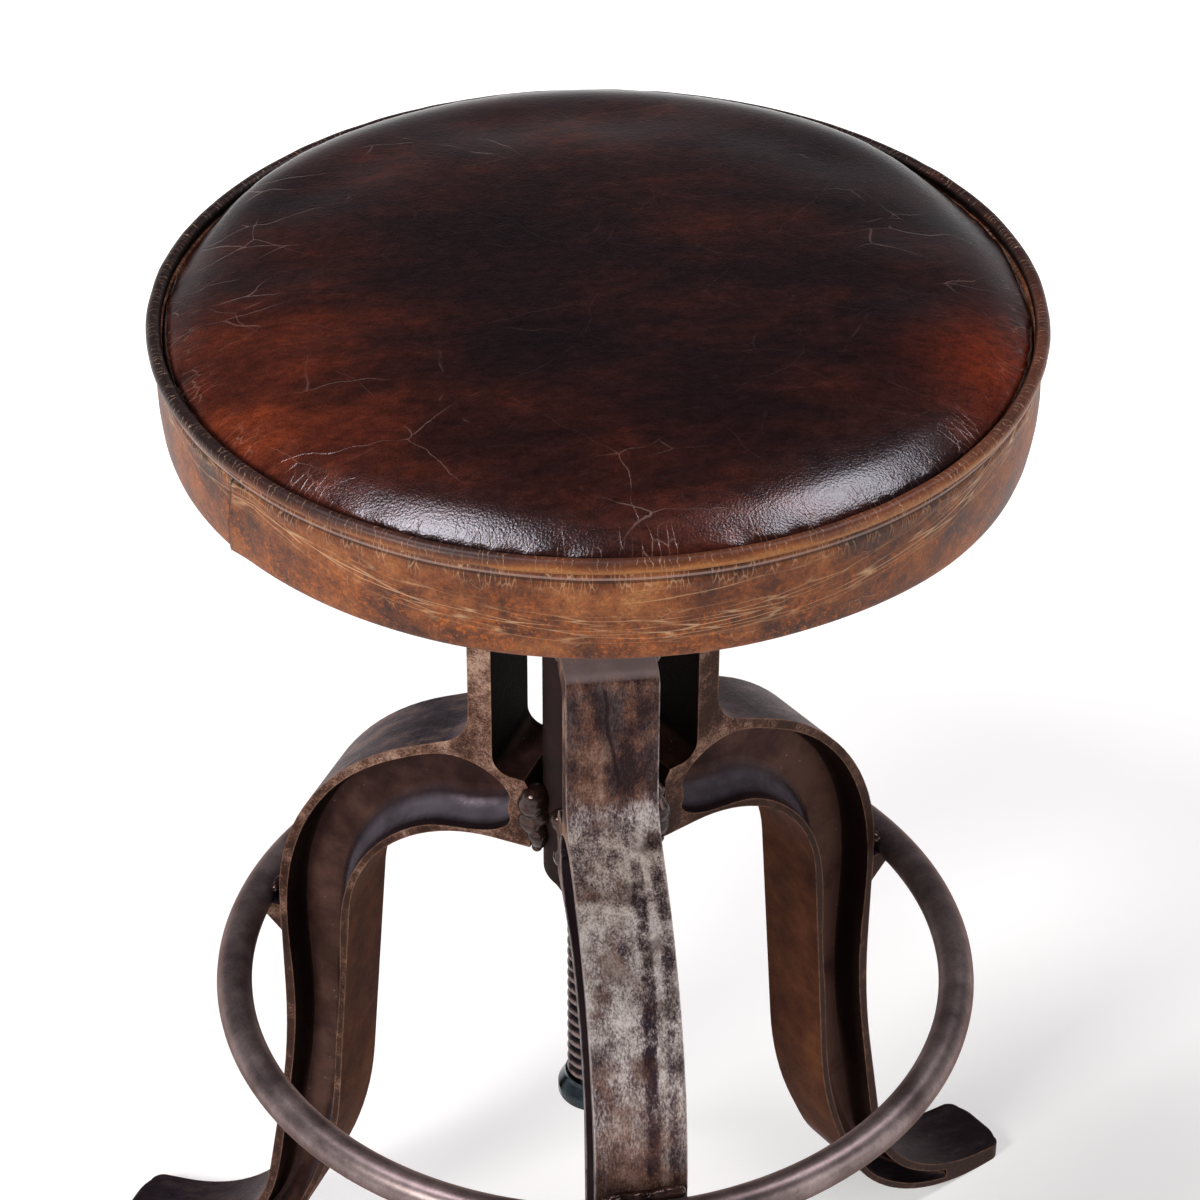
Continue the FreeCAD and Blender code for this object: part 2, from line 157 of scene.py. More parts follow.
def fade(tree, value, start, end, low=0.0, high=1.0):
    """Turns the stretch of a value from start to end into low to high."""
    return add(tree, "MapRange", {"Value": value, "From Min": start, "From Max": end,
                                  "To Min": low, "To Max": high})


def fade_mm(tree, value, start, end, low=0.0, high=1.0):
    """The same for a height or a distance, with its start and end in millimetres."""
    return fade(tree, value, start * MM, end * MM, low, high)


def calc(tree, operation, *values):
    """Arithmetic on one to three values."""
    return add(tree, "Math", dict(enumerate(values)), operation=operation)


def times(tree, first, second):
    """The product of two values."""
    return calc(tree, "MULTIPLY", first, second)


def nudge(tree, value, factor, base):
    """A base value moved by a factor times another value."""
    return calc(tree, "MULTIPLY_ADD", value, factor, base)


def apart(tree, first, second):
    """How far two values are apart."""
    return calc(tree, "ABSOLUTE", calc(tree, "SUBTRACT", first, second))


def vector_calc(tree, operation, *values):
    """Arithmetic on points, directions or colours."""
    return add(tree, "VectorMath", dict(enumerate(values)), operation=operation)


def split(tree, place):
    """The x, y and z of a point or a direction."""
    return add(tree, "SeparateXYZ", {"Vector": place}).outputs[:]


def ramp(tree, value, stops):
    """The colour that rows of a position and a hex value give to a value."""
    return add(tree, "ValToRGB", {"Fac": value}, stops=stops)


def blend(tree, share, first, second):
    """The first colour, covered by the second as far as the share says."""
    return add(tree, "Mix", {0: share, 1: first, 2: second}, data_type="RGBA")


def vary(tree, colour, value, low, high):
    """A colour made darker or lighter by noise, between two factors."""
    factor = fade(tree, value, 0.3, 0.7, low, high)
    return vector_calc(tree, "SCALE", colour, factor)


def stretch(tree, place, scales):
    """Coordinates pressed together along an axis, which pulls a pattern out along it."""
    return vector_calc(tree, "MULTIPLY", place, scales)


def warp(tree, place, size, amount):
    """Coordinates pushed about by slow noise, so that straight patterns bend."""
    push = cloudy(tree, place, size, 2.0).outputs["Color"]
    return vector_calc(tree, "ADD", place, vector_calc(tree, "SCALE", push, amount * MM))


print("a 1 mm grain has scale", per_mm(1))


# %% Line and surface helpers
def hairlines(tree, place, cell, width, cloud, keep_from):
    """Thin lines along the borders of cells, kept only where slow noise is high."""
    cells = add(tree, "TexVoronoi", {"Vector": place, "Scale": per_mm(cell)},
                feature="DISTANCE_TO_EDGE", voronoi_dimensions="2D")
    line = fade(tree, cells, 0.0, width / cell, 1.0, 0.0)
    kept = fade(tree, cloudy(tree, place, cloud, 3.0), keep_from, keep_from + 0.1)
    return times(tree, line, kept)


def unroll(tree, place, radius, start=0.0):
    """Sockets for the way round the axis from a start angle, the height and the distance out."""
    turned = add(tree, "Mapping", {"Vector": place, "Rotation": (0, 0, math.pi - start)})
    x, y, height = split(tree, turned)
    angle = calc(tree, "ARCTAN2", y, x)
    out = vector_calc(tree, "LENGTH", add(tree, "CombineXYZ", {"X": x, "Y": y}))
    return times(tree, angle, radius * MM), height, out


def bump(tree, height, depth, strength=0.5, under=None):
    """Relief of this many millimetres, laid over another relief if one is given."""
    inputs = {"Height": height, "Distance": depth * MM, "Strength": strength}
    if under:
        inputs["Normal"] = under
    return add(tree, "Bump", inputs)


def surface(tree, colour, roughness, relief, metallic=0.0, shine=0.5, tint="#ffffff"):
    """Ends a material: one shader, with its share of metal and the strength and tint of its shine."""
    shader = add(tree, "BsdfPrincipled", {
        "Base Color": colour, "Roughness": roughness, "Normal": relief, "Metallic": metallic,
        "Specular IOR Level": shine, "Specular Tint": tint})
    add(tree, "OutputMaterial", {"Surface": shader})


print("helpers for lines, strips, relief and surfaces are ready")

# %% [markdown]
# ## Making pieces
# Most parts of a stool are turned, so most meshes here start as a line of points that is spun round
# the upright axis, as a lathe or a potter's wheel does it. A finished piece is one object at the
# origin that rides on a body of the CAD model, so it turns when the seat turns.

# %% Mesh helpers
UP = (0, 0, 1)


def lathe(profile, steps, closed=True):
    """Spins a line of (radius, height) points in mm round the upright axis."""
    shape = bmesh.new()
    points = [shape.verts.new((radius * MM, 0, z * MM)) for radius, z in profile]
    ends = points[1:] + points[:1] if closed else points[1:]
    edges = [shape.edges.new(pair) for pair in zip(points, ends)]
    bmesh.ops.spin(shape, geom=points + edges, cent=(0, 0, 0), axis=UP,
                   angle=2 * math.pi, steps=steps, use_merge=True)
    bmesh.ops.remove_doubles(shape, verts=shape.verts, dist=0.001 * MM)
    bmesh.ops.recalc_face_normals(shape, faces=shape.faces)
    return shape


def rod_profile(radius, height, half, corners):
    """The section of a rod that is bent to a ring; half of the rod's thickness is given."""
    angles = [math.radians(360 / corners * k) for k in range(corners)]
    return [(radius + half * math.cos(a), height + half * math.sin(a)) for a in angles]


def new_object(name, shape):
    """Turns a bmesh into an object of the scene."""
    mesh = bpy.data.meshes.new(name)
    shape.to_mesh(mesh)
    shape.free()
    piece = bpy.data.objects.new(name, mesh)
    scene.collection.objects.link(piece)
    return piece


def make_piece(name, shape, body, stands_for, material):
    """Turns a bmesh into a piece that rides on a body and takes the place of CAD nodes."""
    for face in shape.faces:
        face.smooth = True
    piece = new_object(name, shape)
    piece.data.materials.append(material)
    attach(piece, body)
    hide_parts(*stands_for)
    print(name, "has", len(piece.data.polygons), "faces")
    return piece


def with_modifiers(piece):
    """The mesh that an object's modifiers make, as a bmesh; the object itself goes."""
    result = bmesh.new()
    result.from_object(piece, bpy.context.evaluated_depsgraph_get())
    mesh = piece.data
    bpy.data.objects.remove(piece)
    bpy.data.meshes.remove(mesh)
    return result


def melt(shape, voxel):
    """Remeshes a shape into even voxels, which joins all that overlaps into one skin."""
    lump = new_object("melting", shape)
    remesh = lump.modifiers.new("voxels", "REMESH")
    remesh.mode = "VOXEL"
    remesh.voxel_size = voxel * MM
    return with_modifiers(lump)


def cut(shape, place, facing, **settings):
    """Cuts a whole shape along a plane, and gives the new edges."""
    everything = shape.verts[:] + shape.edges[:] + shape.faces[:]
    result = bmesh.ops.bisect_plane(shape, geom=everything, plane_co=place, plane_no=facing,
                                    dist=0.001 * MM, **settings)
    return [item for item in result["geom_cut"] if isinstance(item, bmesh.types.BMEdge)]


def relax(shape, points, rounds):
    """Moves points half the way to the middle of their neighbours, this many times."""
    for _ in range(rounds):
        bmesh.ops.smooth_vert(shape, verts=points, factor=0.5,
                              use_axis_x=True, use_axis_y=True, use_axis_z=True)


print("mesh helpers are ready")

# %% [markdown]
# ## Floor, world and lamps
# The stool stands in a white studio sweep. A pale floor alone renders grey where the lamps are
# dim, so for rays that come straight from the camera, a mirror or glass it also shines a little by
# itself. Its matt part is still lit, so the stool's shadow stays. The sky is bright at the horizon,
# which the metal mirrors, and dark overhead, so the two lamps up there read as clear highlights.

# %% Floor
FLOOR_RADIUS = 5.0
disc = bmesh.new()
bmesh.ops.create_circle(disc, cap_ends=True, segments=96, radius=FLOOR_RADIUS)
floor = new_object("floor", disc)
floor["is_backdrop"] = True

GLOW_NEAR, GLOW_FAR = 0.37, 1.0
GLOW_START, GLOW_END = 0.55, 1.1
floor_paint, tree, place = new_material("matt white studio paper")
away = vector_calc(tree, "LENGTH", place)
strength = fade(tree, away, GLOW_START, GLOW_END, GLOW_NEAR, GLOW_FAR)
path = add(tree, "LightPath")
seen = calc(tree, "MAXIMUM", path.outputs["Is Camera Ray"], path.outputs["Is Glossy Ray"])
seen = calc(tree, "MAXIMUM", seen, path.outputs["Is Transmission Ray"])
glow = times(tree, seen, strength)
paper = add(tree, "BsdfDiffuse", {"Color": "#dedcd6"})
shine = add(tree, "Emission", {"Color": "#ffffff", "Strength": glow})
both = add(tree, "AddShader", {0: paper, 1: shine})
add(tree, "OutputMaterial", {"Surface": both})
floor.data.materials.append(floor_paint)
print("the floor is", floor.dimensions.x, "m across")

# %% World
world = bpy.data.worlds.new("studio")
world.use_nodes = True
scene.world = world
tree = world.node_tree
tree.nodes.clear()
_, _, height = split(tree, add(tree, "TexCoord").outputs["Generated"])
SKY = ((0.0, "#ffffff"), (0.03, "#e6e6e8"), (0.2, "#a3a3a8"), (0.45, "#38383c"), (1.0, "#2c2d31"))
sky = ramp(tree, height, SKY)
air = add(tree, "Background", {"Color": sky, "Strength": 1.0})
add(tree, "OutputWorld", {"Surface": air})
scene.view_settings.view_transform = "Standard"
print("the world fades from white at the horizon to dark grey overhead")


# %% Lamps
def softbox(name, place, target, size, power, tint="#ffffff"):
    """A square area lamp that faces a point of the stool."""
    data = bpy.data.lights.new(name, "AREA")
    data.size = size
    data.energy = power
    data.color = linear(tint)[:3]
    lamp = bpy.data.objects.new(name, data)
    lamp.location = place
    lamp.rotation_euler = (Vector(target) - Vector(place)).to_track_quat("-Z", "Y").to_euler()
    scene.collection.objects.link(lamp)


SEAT = (0, 0, 0.6)
LEGS = (0, 0, 0.35)
softbox("overhead left", (-0.72, 0.02, 2.5), SEAT, 0.55, 28, "#f4f0fc")
softbox("overhead right", (0.95, 0.25, 2.3), SEAT, 0.55, 17, "#f4f0fc")
softbox("front left", (-1.6, -1.3, 1.5), LEGS, 0.5, 38)
softbox("front right", (1.7, -1.2, 1.0), LEGS, 1.0, 11)
print(len(bpy.data.lights), "soft lamps")

# %% [markdown]
# ## Top leather: colour
# The hide is full-grain cowhide, dyed almost black-brown and waxed by hand. Wax gathers unevenly,
# so oxblood and rust show through in fine mottles, and more strongly where the hide was rubbed: at
# the left front and on the far right of the rim. An image of leather would repeat; noise of a few
# real sizes does not, and a few soft patches put the tones where the real seat has them.

# %% Top leather colour
SEAT_TOP = 617.0
# where each patch of tone is, how far it reaches and how much lighter or darker it is
PATCHES = ((-135, -72, 95, 0.2), (150, -90, 60, 0.1), (20, -165, 70, 0.08), (-60, 110, 90, 0.04),
           (-43, 0, 80, -0.07), (120, 60, 90, -0.05), (46, -100, 50, -0.05))
RUST_SPOT = (158, -72, 62)
TONE_SPREAD, TONE_START = 0.52, 0.225


def near_spot(tree, place, x, y, reach, core=0.0):
    """From 0 at this many mm from a spot of the seat's top to 1 within its core."""
    centre = (x * MM, y * MM, SEAT_TOP * MM)
    away = vector_calc(tree, "DISTANCE", place, centre)
    return fade_mm(tree, away, reach, core)


top_leather, tree, place = new_material("waxed full-grain leather, dark")
brushed = stretch(tree, place, (0.55, 1.0, 1.0))
clouds = cloudy(tree, brushed, 42, 12.0, 0.72)
tone = nudge(tree, clouds, TONE_SPREAD, TONE_START)
for x, y, reach, lift in PATCHES:
    tone = nudge(tree, near_spot(tree, place, x, y, reach), lift, tone)
DYE = ((0.36, "#0f0809"), (0.45, "#180b0b"), (0.53, "#27110d"), (0.61, "#421b10"),
       (0.7, "#6a2d17"), (0.82, "#8f4a24"))
hide = ramp(tree, tone, DYE)
mottle = cloudy(tree, brushed, 4, 8.0, 0.78)
hide = vary(tree, hide, mottle, 0.6, 1.5)
near = near_spot(tree, place, *RUST_SPOT)
rust = times(tree, times(tree, near, near), fade(tree, mottle, 0.25, 0.65))
hide = blend(tree, rust, hide, "#8a300c")
print(len(PATCHES), "patches of tone")

# %% [markdown]
# ## Top leather: scratches, creases and grain
# Scratches are the borders of big cells, bent a little and drawn as hair-thin lines. A cloudy
# pattern hides most of them, and what is left shows fully only in a few spots, or the seat would
# look like a dried lake. Near the rim the hide is stretched over the foam and gathers in short
# creases that run outwards. The real grain is about 0.7 mm; it is drawn at 1 mm, so that it shows
# at this distance.

# %% Top leather lines and gloss
SCRATCHED = ((-48, 132, 46), (-130, 75, 52), (-95, -95, 52), (142, 14, 40), (120, 80, 34),
             (8, -140, 34), (-150, 0, 30))
ELSEWHERE = 0.15
CREASED_RADIUS = 165
CREASES_START, CREASES_FULL = 155, 168
RIM_SHADOW_START, RIM_SHADOW_FULL = 169.3, 170.8

along, height, out = unroll(tree, place, CREASED_RADIUS)
shaken = warp(tree, warp(tree, place, 40, 20), 5, 1.5)
forks = hairlines(tree, shaken, 58, 0.26, 40, 0.5)
long_lines = hairlines(tree, stretch(tree, shaken, (0.3, 1.0, 1.0)), 18, 0.24, 26, 0.51)
scratch = calc(tree, "MAXIMUM", forks, long_lines)
there = ELSEWHERE
for x, y, reach in SCRATCHED:
    there = calc(tree, "MAXIMUM", there, near_spot(tree, place, x, y, reach, reach * 0.6))
scratch = times(tree, scratch, there)
outwards = add(tree, "CombineXYZ", {"X": along, "Y": times(tree, out, 0.3)})
rim_crease = hairlines(tree, warp(tree, outwards, 8, 3), 3, 0.2, 9, 0.48)
rim_crease = times(tree, rim_crease, fade_mm(tree, out, CREASES_START, CREASES_FULL))
hide = blend(tree, times(tree, scratch, 0.26), hide, "#a5877a")
hide = blend(tree, times(tree, rim_crease, 0.26), hide, "#a5806c")
hide = blend(tree, fade_mm(tree, out, RIM_SHADOW_START, RIM_SHADOW_FULL), hide, "#080404")
pebbles = add(tree, "TexVoronoi", {"Vector": place, "Scale": per_mm(1.0)})
pores = cloudy(tree, place, 0.8, 3.0)
grain = calc(tree, "ADD", pebbles, pores)
hide = vary(tree, hide, pores, 0.7, 1.3)
relief = bump(tree, grain, 0.13, 0.4)
relief = bump(tree, cloudy(tree, place, 9, 3.0), 0.4, 0.1, relief)
relief = bump(tree, scratch, -0.15, 0.4, relief)
relief = bump(tree, rim_crease, -0.12, 0.4, relief)
gloss = fade(tree, mottle, 0.3, 0.7, 0.16, 0.23)
surface(tree, hide, gloss, relief, shine=0.38)
print("scratches 0.3 mm wide, grain 1 mm")

# %% [markdown]
# ## Seat top
# The panel is a disc of hide drawn over foam and sewn along its rim, so it is steep at the seam,
# turns over in a narrow shoulder and is nearly flat in the middle. A lathe makes that too evenly,
# so the turned shape is remeshed, held along its seam as cloth, and swollen by air pressure for a
# moment: the skin finds its own slight bulges. It also puckers along the seam, which taut hide
# doesn't, so how far a point may move is capped, and the skin is smoothed. At the back the foam is
# fuller and hides the piping.

# %% Seat top before it is stuffed
SEAM_HEIGHT = 604.0
SEAM_RADIUS = 171.5
PAD_VOXEL = 4
panel_profile = [(0, 579.0), (171.0, 579.0), (171.6, 598.6), (171.6, 602.4), (170.9, 604.3),
                 (169.0, 606.0), (165.4, 608.1), (160.0, 611.0), (153.0, 613.4), (145.0, 614.9),
                 (133.0, 616.5), (115.0, 617.8), (90.0, 618.7), (60.0, 619.2), (20.0, 619.5),
                 (0, 619.5)]
pad = melt(lathe(panel_profile, 128, closed=False), PAD_VOXEL)
print("the pad has", len(pad.verts), "points before it is stuffed")

# %% Stuff it with air pressure
MOST_SWELL = 1.0
SMOOTHINGS = 30
AIR_PRESSURE = 4.0
LAST_FRAME = 20
before = [vert.co.copy() for vert in pad.verts]
bag = new_object("pad", pad)
held = bag.vertex_groups.new(name="sewn")
held.add([i for i, spot in enumerate(before) if spot.z < SEAM_HEIGHT * MM], 1.0, "ADD")
cloth = bag.modifiers.new("cloth", "CLOTH")
cloth.settings.vertex_group_mass = "sewn"
cloth.settings.use_pressure = True
cloth.settings.uniform_pressure_force = AIR_PRESSURE
cloth.settings.effector_weights.gravity = 0
cloth.point_cache.frame_end = LAST_FRAME
for number in range(1, LAST_FRAME + 1):
    scene.frame_set(number)
pad = with_modifiers(bag)
scene.frame_set(1)
for vert, start in zip(pad.verts, before):
    move = vert.co - start
    if move.length > MOST_SWELL * MM:
        vert.co = start + move.normalized() * MOST_SWELL * MM
skin_points = [vert for vert in pad.verts if vert.co.z > (SEAM_HEIGHT + 1) * MM]
relax(pad, skin_points, SMOOTHINGS)
for vert in pad.verts:
    out = math.hypot(vert.co.x, vert.co.y)
    if out > SEAM_RADIUS * MM:
        vert.co.x *= SEAM_RADIUS * MM / out
        vert.co.y *= SEAM_RADIUS * MM / out
print("the crown is", round(max(vert.co.z for vert in pad.verts) / MM, 1), "mm above the floor")

# %% Fuller at the back
BACK_LIFT = 4.6
BACK_PUSH = 1.4
BACK_START, BACK_FADE = 0.25, 0.5
FULL_RADIUS = 166.0
FULL_REACH = 26.0
FULL_ABOVE = 3.0


def at_back(place):
    """From 0 at the sides to 1 at the back of the seat."""
    if place.y <= 0:
        return 0.0
    share = (place.y / math.hypot(place.x, place.y) - BACK_START) / BACK_FADE
    share = min(max(share, 0.0), 1.0)
    return share * share * (3 - 2 * share)


for vert in pad.verts:
    out = math.hypot(vert.co.x, vert.co.y)
    above = min(max((vert.co.z / MM - SEAM_HEIGHT) / FULL_ABOVE, 0.0), 1.0)
    inside = max(FULL_RADIUS - out / MM, 0.0) / FULL_REACH
    fuller = at_back(vert.co) * above * math.exp(-inside * inside)
    if fuller > 0:
        vert.co.x += BACK_PUSH * MM * fuller * vert.co.x / out
        vert.co.y += BACK_PUSH * MM * fuller * vert.co.y / out
        vert.co.z += BACK_LIFT * MM * fuller
print("at the back the cushion stands", BACK_LIFT, "mm fuller, over its piping")

# %% Finish the seat top
seat_top = make_piece("seat_top", pad, "seat", ("seat_top_panel", "seat_foam"),
                      top_leather)
smoother = seat_top.modifiers.new("smooth skin", "SUBSURF")
smoother.levels = 1
smoother.render_levels = 1

# %% [markdown]
# ## Piping
# A cord wrapped in a strip of leather hides the seam. Bent round such a tight cord, the finish on
# the strip cracks across it, and the pale fibre shows in short lines. It is nearly black at the
# back and left, and tan where hands and knees rub it, at the front and right. Its inner side, in
# the crevice by the seat top, is darkened with painted shade.

# %% Piping material
PIPING_RADIUS = 175.0
CRACK_STEP = 2.6
CRACK_SLANT = 0.2
CRACK_WAVER = 6.0
RUBBED_SIDE = (0.5, -0.87, 0.0)
STRIP = ((0.35, "#20110e"), (0.55, "#3c1f16"), (0.75, "#5d321c"), (0.9, "#7e4824"),
         (1.05, "#99602f"))
piping_leather, tree, place = new_material("piping leather, cracked finish")
along, height, out = unroll(tree, place, PIPING_RADIUS)
slant = nudge(tree, height, CRACK_SLANT, along)
waver = nudge(tree, cloudy(tree, place, 5, 4.0), CRACK_WAVER * MM, slant)
cracks = add(tree, "TexVoronoi", {"W": waver, "Scale": per_mm(CRACK_STEP)},
             feature="DISTANCE_TO_EDGE", voronoi_dimensions="1D")
crack = fade(tree, cracks, 0.0, 0.07, 1.0, 0.0)
crack = times(tree, crack, fade(tree, cloudy(tree, place, 6, 4.0), 0.44, 0.58))
front = vector_calc(tree, "DOT_PRODUCT", place, RUBBED_SIDE)
at_front = fade_mm(tree, front, -60, 160, 0.0, 0.5)
outside = fade_mm(tree, height, 606.5, 603, -0.22, 0.2)
rubbed = calc(tree, "ADD", at_front, outside)
rubbed = nudge(tree, cloudy(tree, place, 30, 5.0), 0.8, rubbed)
strip = ramp(tree, rubbed, STRIP)
strip = vary(tree, strip, cloudy(tree, place, 1.5, 4.0, 0.75), 0.65, 1.3)
strip = blend(tree, times(tree, crack, 0.7), strip, "#bd9a78")
# painted shade: the piping's inner side, in the crevice by the seat top, goes near black
inside = fade_mm(tree, out, 173.2, 172.2)
strip = blend(tree, inside, strip, "#0c0605")
relief = bump(tree, crack, -0.3, 0.6, bump(tree, cloudy(tree, place, 1.2, 3.0), 0.15))
surface(tree, strip, 0.42, relief, shine=0.25)
print("cracks about", CRACK_STEP, "mm apart")

# %% Piping
CORD_RADIUS = 3.0
CORD_WAVER = 0.2
CORD_SINK = 1.0
cord = lathe(rod_profile(PIPING_RADIUS, SEAM_HEIGHT, CORD_RADIUS, 12), 360)
# without a seed the clock would choose where the cord wavers
noise.seed_set(1)
for vert in cord.verts:
    vert.co += CORD_WAVER * MM * noise.noise_vector(vert.co * per_mm(11))
    vert.co.z -= CORD_SINK * MM * at_back(vert.co)
make_piece("piping", cord, "seat", ("seat_piping",), piping_leather)

# %% [markdown]
# ## Side leather: colour
# The band is a lighter, rougher pull-up hide: where it was stretched, oil moved away and the
# surface went pale tan, with dark patches where it did not. Low down it is freckled with orange.
# Seen from the axis the band is a strip, so its pattern runs on "how far round" and "how high"
# instead of x, y and z, and starts anew at the seam, as two pieces of hide do.

# %% Side leather colour
BAND_RADIUS = 174.5
SEAM_ANGLE = math.radians(-149.3)
SEAM_MIDDLE = 582.0
SEAM_LEAN = 0.16
side_leather, tree, place = new_material("distressed pull-up leather, tan")
along, height, _ = unroll(tree, place, BAND_RADIUS, SEAM_ANGLE)
strip_place = add(tree, "CombineXYZ", {"X": along, "Y": height})
HIDE = ((0.33, "#24110b"), (0.43, "#492413"), (0.52, "#6f3c1f"), (0.61, "#8c5430"),
        (0.73, "#ab774a"))
tone = cloudy(tree, strip_place, 30, 12.0, 0.72)
hide = ramp(tree, tone, HIDE)
hide = vary(tree, hide, cloudy(tree, place, 1.4, 6.0, 0.85), 0.4, 1.55)
freckle = fade(tree, cloudy(tree, place, 2.4, 8.0, 0.82), 0.52, 0.585)
where = fade(tree, cloudy(tree, strip_place, 18, 3.0), 0.4, 0.55)
low = fade_mm(tree, height, 597, 576)
freckle = times(tree, times(tree, freckle, where), low)
hide = blend(tree, times(tree, freckle, 0.7), hide, "#b8601c")
print("the band's pattern is", round(2 * math.pi * BAND_RADIUS), "mm long")

# %% [markdown]
# ## Side leather: creases
# Stretching pulls long, nearly level creases into the hide that run side by side, part and meet
# again. Drawn as the borders of cells that are some fourteen times as long as they are high, they
# do just that. A bundle of them runs all round in a shallow bow, lowest at the front. Short
# upright cracks cross the turned edge below the piping, which a painted highlight along the ridge
# and painted shade in the groove under it mark.

# %% Side leather creases
FRONT_ALONG = (math.radians(-92) - SEAM_ANGLE - math.pi) * BAND_RADIUS * MM
LOWEST_CREASE = 576.0
CREASE_RISE = 0.7
CREASE_PULL = 0.07
BOW_REACH = 0.16
BUNDLE_REACH, BUNDLE_CORE = 8.5, 2.0
# heights of the painted highlight along the ridge and of the painted shade in the groove under it
RIDGE_HIGHLIGHT = 598.6
GROOVE_SHADE = 596.7
EDGE_HALF = 0.6
from_front = fade(tree, along, FRONT_ALONG - BOW_REACH, FRONT_ALONG + BOW_REACH, -BOW_REACH, BOW_REACH)
squared = times(tree, from_front, from_front)
bow = nudge(tree, squared, CREASE_RISE, LOWEST_CREASE * MM)
over_bow = calc(tree, "SUBTRACT", height, bow)
level = add(tree, "CombineXYZ", {"X": times(tree, along, CREASE_PULL), "Y": over_bow})
level = warp(tree, warp(tree, level, 9, 3.5), 2, 0.5)
bundle = fade_mm(tree, calc(tree, "ABSOLUTE", over_bow), BUNDLE_REACH, BUNDLE_CORE)
crease = times(tree, hairlines(tree, level, 2.0, 0.22, 6, 0.43), bundle)
crease = calc(tree, "MAXIMUM", crease, hairlines(tree, level, 5, 0.24, 9, 0.62))
fine_net = hairlines(tree, warp(tree, strip_place, 5, 2), 5, 0.24, 14, 0.58)
upright = stretch(tree, strip_place, (1.0, 0.22, 1.0))
upright = hairlines(tree, warp(tree, upright, 5, 1.5), 1.8, 0.2, 6, 0.45)
upright = times(tree, upright, fade_mm(tree, height, 590, 596.5, 0.0, 0.75))
lines = calc(tree, "MAXIMUM", crease, times(tree, fine_net, 0.5))
lines = calc(tree, "MAXIMUM", lines, upright)
hide = blend(tree, times(tree, lines, 0.8), hide, "#cfa881")
# painted highlight: a pale line along the ridge just below the piping
edge = calc(tree, "COMPARE", height, RIDGE_HIGHLIGHT * MM, EDGE_HALF * MM)
hide = blend(tree, times(tree, edge, 0.45), hide, "#a89088")
# painted shade: a dark line in the groove under the ridge
groove_shade = calc(tree, "COMPARE", height, GROOVE_SHADE * MM, EDGE_HALF * MM)
hide = blend(tree, times(tree, groove_shade, 0.6), hide, "#1c0f0b")
lean = times(tree, calc(tree, "SUBTRACT", height, SEAM_MIDDLE * MM), SEAM_LEAN)
from_seam = apart(tree, math.pi * BAND_RADIUS * MM, apart(tree, along, lean))
stitched = fade_mm(tree, from_seam, 1.5, 0.8)
stitched = times(tree, stitched, fade_mm(tree, height, 598, 596))
hide = blend(tree, times(tree, stitched, 0.95), hide, "#120806")
pebbles = add(tree, "TexVoronoi", {"Vector": place, "Scale": per_mm(1.1)})
relief = bump(tree, pebbles, 0.25, 0.4)
relief = bump(tree, cloudy(tree, strip_place, 12, 4.0), 0.8, 0.3, relief)
relief = bump(tree, lines, -0.25, 0.6, relief)
gloss = fade(tree, tone, 0.3, 0.7, 0.42, 0.58)
surface(tree, hide, gloss, relief, shine=0.24)
print("creases run level, a few millimetres apart")

# %% [markdown]
# ## Side band
# The band turns over a ridge just below the piping, runs down and is tacked under the board. It is
# not even: at the right front the hide sags a few millimetres, and at the left the two ends of the
# strip meet in one sewn seam, which stands up on one side. Cuts along a tilted plane give the seam
# its own points, which are then moved.

# %% Side band
band_profile = [(171.9, 600.9), (173.6, 601.2), (174.9, 600.4), (175.4, 599.2), (175.3, 598.1),
                (174.2, 597.2), (174.1, 596.4), (174.9, 595.4), (174.9, 594.0), (174.6, 592.0),
                (174.9, 587.0), (175.0, 581.0), (174.8, 574.0), (174.3, 568.0), (173.8, 563.6),
                (173.2, 561.6), (171.8, 560.3), (169.0, 560.0), (155.0, 560.0), (155.0, 561.8),
                (170.0, 561.8), (171.5, 563.0), (171.9, 570.0), (172.0, 590.0)]
BAND_TOP = 601.0
BAND_DEPTH = 41.0
BAND_WAVER = 0.4
SAG_ANGLE = math.radians(-33)
SAG_REACH = math.radians(27)
SAG_OUT = 1.3
SAG_DOWN = 3.2
band = lathe(band_profile, 256)
for vert in band.verts:
    outwards = Vector((vert.co.x, vert.co.y, 0)).normalized()
    away = math.remainder(math.atan2(vert.co.y, vert.co.x) - SAG_ANGLE, 2 * math.pi) / SAG_REACH
    sag = math.exp(-away * away)
    down = (BAND_TOP - vert.co.z / MM) / BAND_DEPTH
    swell = noise.noise(vert.co * per_mm(42))
    vert.co += (BAND_WAVER * swell + SAG_OUT * sag * math.sin(math.pi * down)) * MM * outwards
    vert.co.z -= SAG_DOWN * sag * down * down * MM
print("the band sags at", round(math.degrees(SAG_ANGLE)), "degrees")

# %% Seam of the side band
SEAM_STEP = 1.6
SEAM_GROOVE = 1.0
SEAM_FADE = 14.0
SEAM_CUTS = (-0.8, 0.0, 0.8)
SEAM_EDGE = 0.1
SEAM_TOP = 597.0
seam_spot = Vector((math.cos(SEAM_ANGLE), math.sin(SEAM_ANGLE), 0)) * BAND_RADIUS * MM
seam_side = Vector((-math.sin(SEAM_ANGLE), math.cos(SEAM_ANGLE), -SEAM_LEAN)).normalized()
seam_spot.z = SEAM_MIDDLE * MM
for offset in SEAM_CUTS:
    cut(band, seam_spot + seam_side * offset * MM, seam_side)
for vert in band.verts:
    outwards = Vector((vert.co.x, vert.co.y, 0)).normalized()
    past = (vert.co - seam_spot).dot(seam_side) / MM
    at_seam = outwards.dot(seam_spot) > 0 and -SEAM_EDGE < past < SEAM_FADE
    if at_seam and vert.co.z < SEAM_TOP * MM:
        step = SEAM_STEP * (1 - past / SEAM_FADE) ** 2 if past > SEAM_EDGE else -SEAM_GROOVE
        vert.co += step * MM * outwards
make_piece("side_band", band, "seat", ("seat_side_band",), side_leather)
